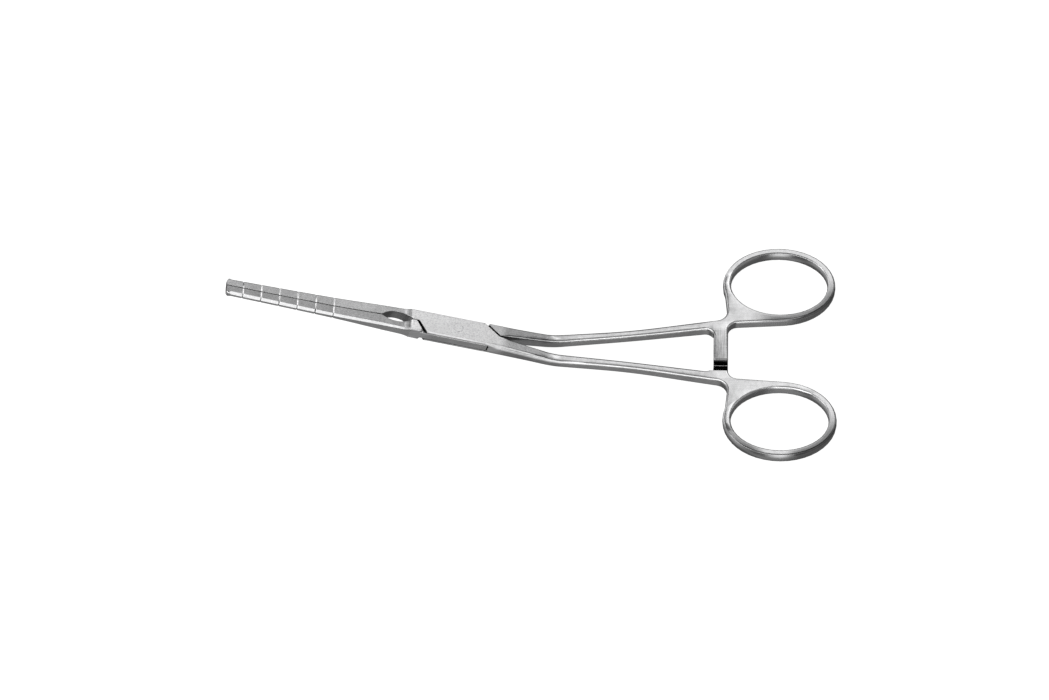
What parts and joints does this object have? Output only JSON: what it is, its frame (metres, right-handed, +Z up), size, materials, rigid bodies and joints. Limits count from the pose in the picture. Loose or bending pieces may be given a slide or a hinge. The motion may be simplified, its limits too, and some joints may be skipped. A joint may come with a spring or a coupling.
{
  "type": "vascular clamp",
  "caption": "Ring-handled vascular clamp with long straight calibrated jaws, box lock, angled shanks and a ratchet catch.",
  "frame": {"origin": "middle of the bounding box on the plane that the finger rings rest on", "axes": "+X from the jaws to the finger rings, +Y to the ring of the tenon half, +Z up from the surface that the rings rest on"},
  "size_m": [0.1636, 0.07, 0.0292],
  "materials": {
    "satin_steel": "satin, glass-bead blasted with fine brushing along the shanks",
    "pin_steel": "satin, ground flush with the box lock"
  },
  "bodies": {
    "box_side": {"box_half": "satin_steel", "pivot_pin": "pin_steel"},
    "tenon_side": {"tenon_half": "satin_steel"}
  },
  "joints": [
    {"name": "box_lock", "type": "hinge", "parent": "box_side", "child": "tenon_side", "pos_m": [-0.02056, 0, 0.00954], "axis": [0.294, 0, 0.9558], "range_deg": [0, 45]}
  ]
}
